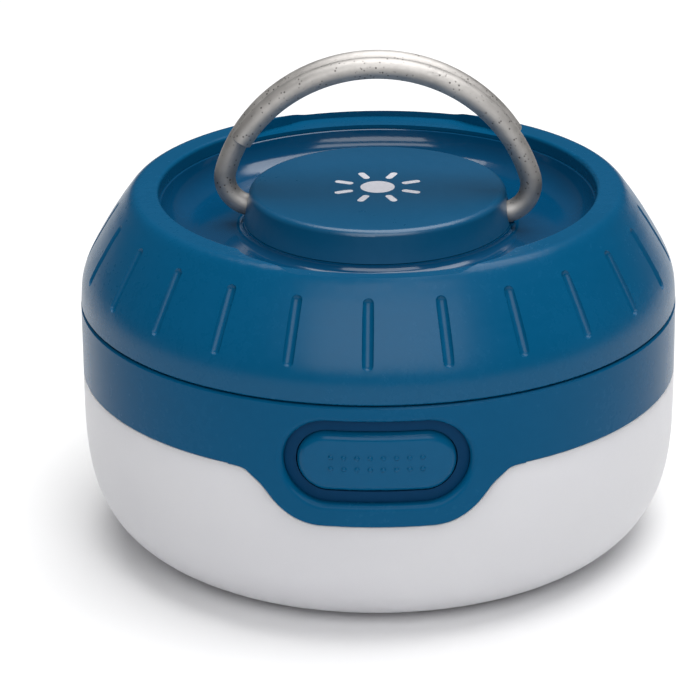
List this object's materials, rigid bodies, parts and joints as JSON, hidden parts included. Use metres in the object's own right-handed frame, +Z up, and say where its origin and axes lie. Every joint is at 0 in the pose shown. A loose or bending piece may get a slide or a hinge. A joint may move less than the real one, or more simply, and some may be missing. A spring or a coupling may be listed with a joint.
{
  "type": "camping lantern",
  "caption": "Palm-sized round lantern with a frosted globe foot, thumb button, twist-off grooved cap over its cells, and a folding two-wire hang loop.",
  "frame": {"origin": "centre of the globe's flat foot, on the surface that the lantern stands on", "axes": "+Z up along the lantern's axis, the thumb button faces -Y, the hang loops' hinge line runs along X"},
  "size_m": [0.0802, 0.0802, 0.0672],
  "materials": {
    "frosted_globe": "satin frosted polycarbonate",
    "blue_shell": "satin moulded plastic",
    "blue_gloss": "glossy moulded plastic",
    "blue_rubber": "satin elastomer",
    "seal_rubber": "satin",
    "white_plastic": "white reflector",
    "black_plastic": "fine texture",
    "nylon": "natural nylon",
    "board_white": "white solder mask on aluminium",
    "board_green": "green solder mask",
    "component": "moulded component body",
    "led": "phosphor",
    "steel_wire": "tumbled stainless wire",
    "screw_steel": "zinc plated",
    "contact_metal": "nickel plated",
    "cell_jacket": "plain printed jacket",
    "emblem_print": "light grey print"
  },
  "bodies": {
    "base": {"globe": "frosted_globe", "lower_housing": "blue_shell", "globe_gasket": "seal_rubber", "button_boot": "blue_rubber", "reflector_deck": "white_plastic", "deck_screws": "screw_steel", "led_board": "board_white", "leds": "led", "led_board_screws": "screw_steel", "board_header": "black_plastic", "main_pcb": "board_green", "driver_parts": "component", "tact_switch": "component", "pcb_screws": "screw_steel", "battery_tray": "black_plastic", "tray_screws": "screw_steel", "battery_cells": "cell_jacket", "contact_plates": "contact_metal", "cell_springs": "contact_metal"},
    "button": {"power_button": "blue_shell"},
    "plunger": {"switch_plunger": "black_plastic"},
    "seal": {"cap_seal": "seal_rubber"},
    "cap": {"grip_shell": "blue_shell", "dish": "blue_gloss", "dish_ring": "black_plastic", "dish_screws": "screw_steel", "hook_mount": "blue_shell", "hook_clamp": "black_plastic", "clamp_screws": "screw_steel", "friction_sleeves": "nylon", "top_emblem": "emblem_print"},
    "front_hook": {"front_loop": "steel_wire"},
    "rear_hook": {"rear_loop": "steel_wire"}
  },
  "joints": [
    {"name": "button_press", "type": "slide", "parent": "base", "child": "button", "axis": [0, 1, 0], "range_m": [0, 0.0006], "stiffness_N_per_m": 3000, "springref_m": -0.0002},
    {"name": "plunger_press", "type": "slide", "parent": "base", "child": "plunger", "axis": [0, 1, 0], "range_m": [0, 0.0007]},
    {"name": "cap_lift", "type": "slide", "parent": "base", "child": "seal", "axis": [0, 0, 1], "range_m": [0, 0.00301]},
    {"name": "cap_twist", "type": "hinge", "parent": "seal", "child": "cap", "pos_m": [0, 0, 0.0366], "axis": [0, 0, 1], "range_deg": [0, 120]},
    {"name": "front_hook_fold", "type": "hinge", "parent": "cap", "child": "front_hook", "pos_m": [0, -0.00155, 0.0455], "axis": [1, 0, 0], "range_deg": [0, 90]},
    {"name": "rear_hook_fold", "type": "hinge", "parent": "cap", "child": "rear_hook", "pos_m": [0, 0.00155, 0.0455], "axis": [-1, 0, 0], "range_deg": [0, 90]}
  ],
  "couplings": [
    {"joint": "plunger_press", "follows": "button_press", "ratio": 1},
    {"joint": "cap_lift", "follows": "cap_twist", "m_per_rad": 0.0014324}
  ]
}
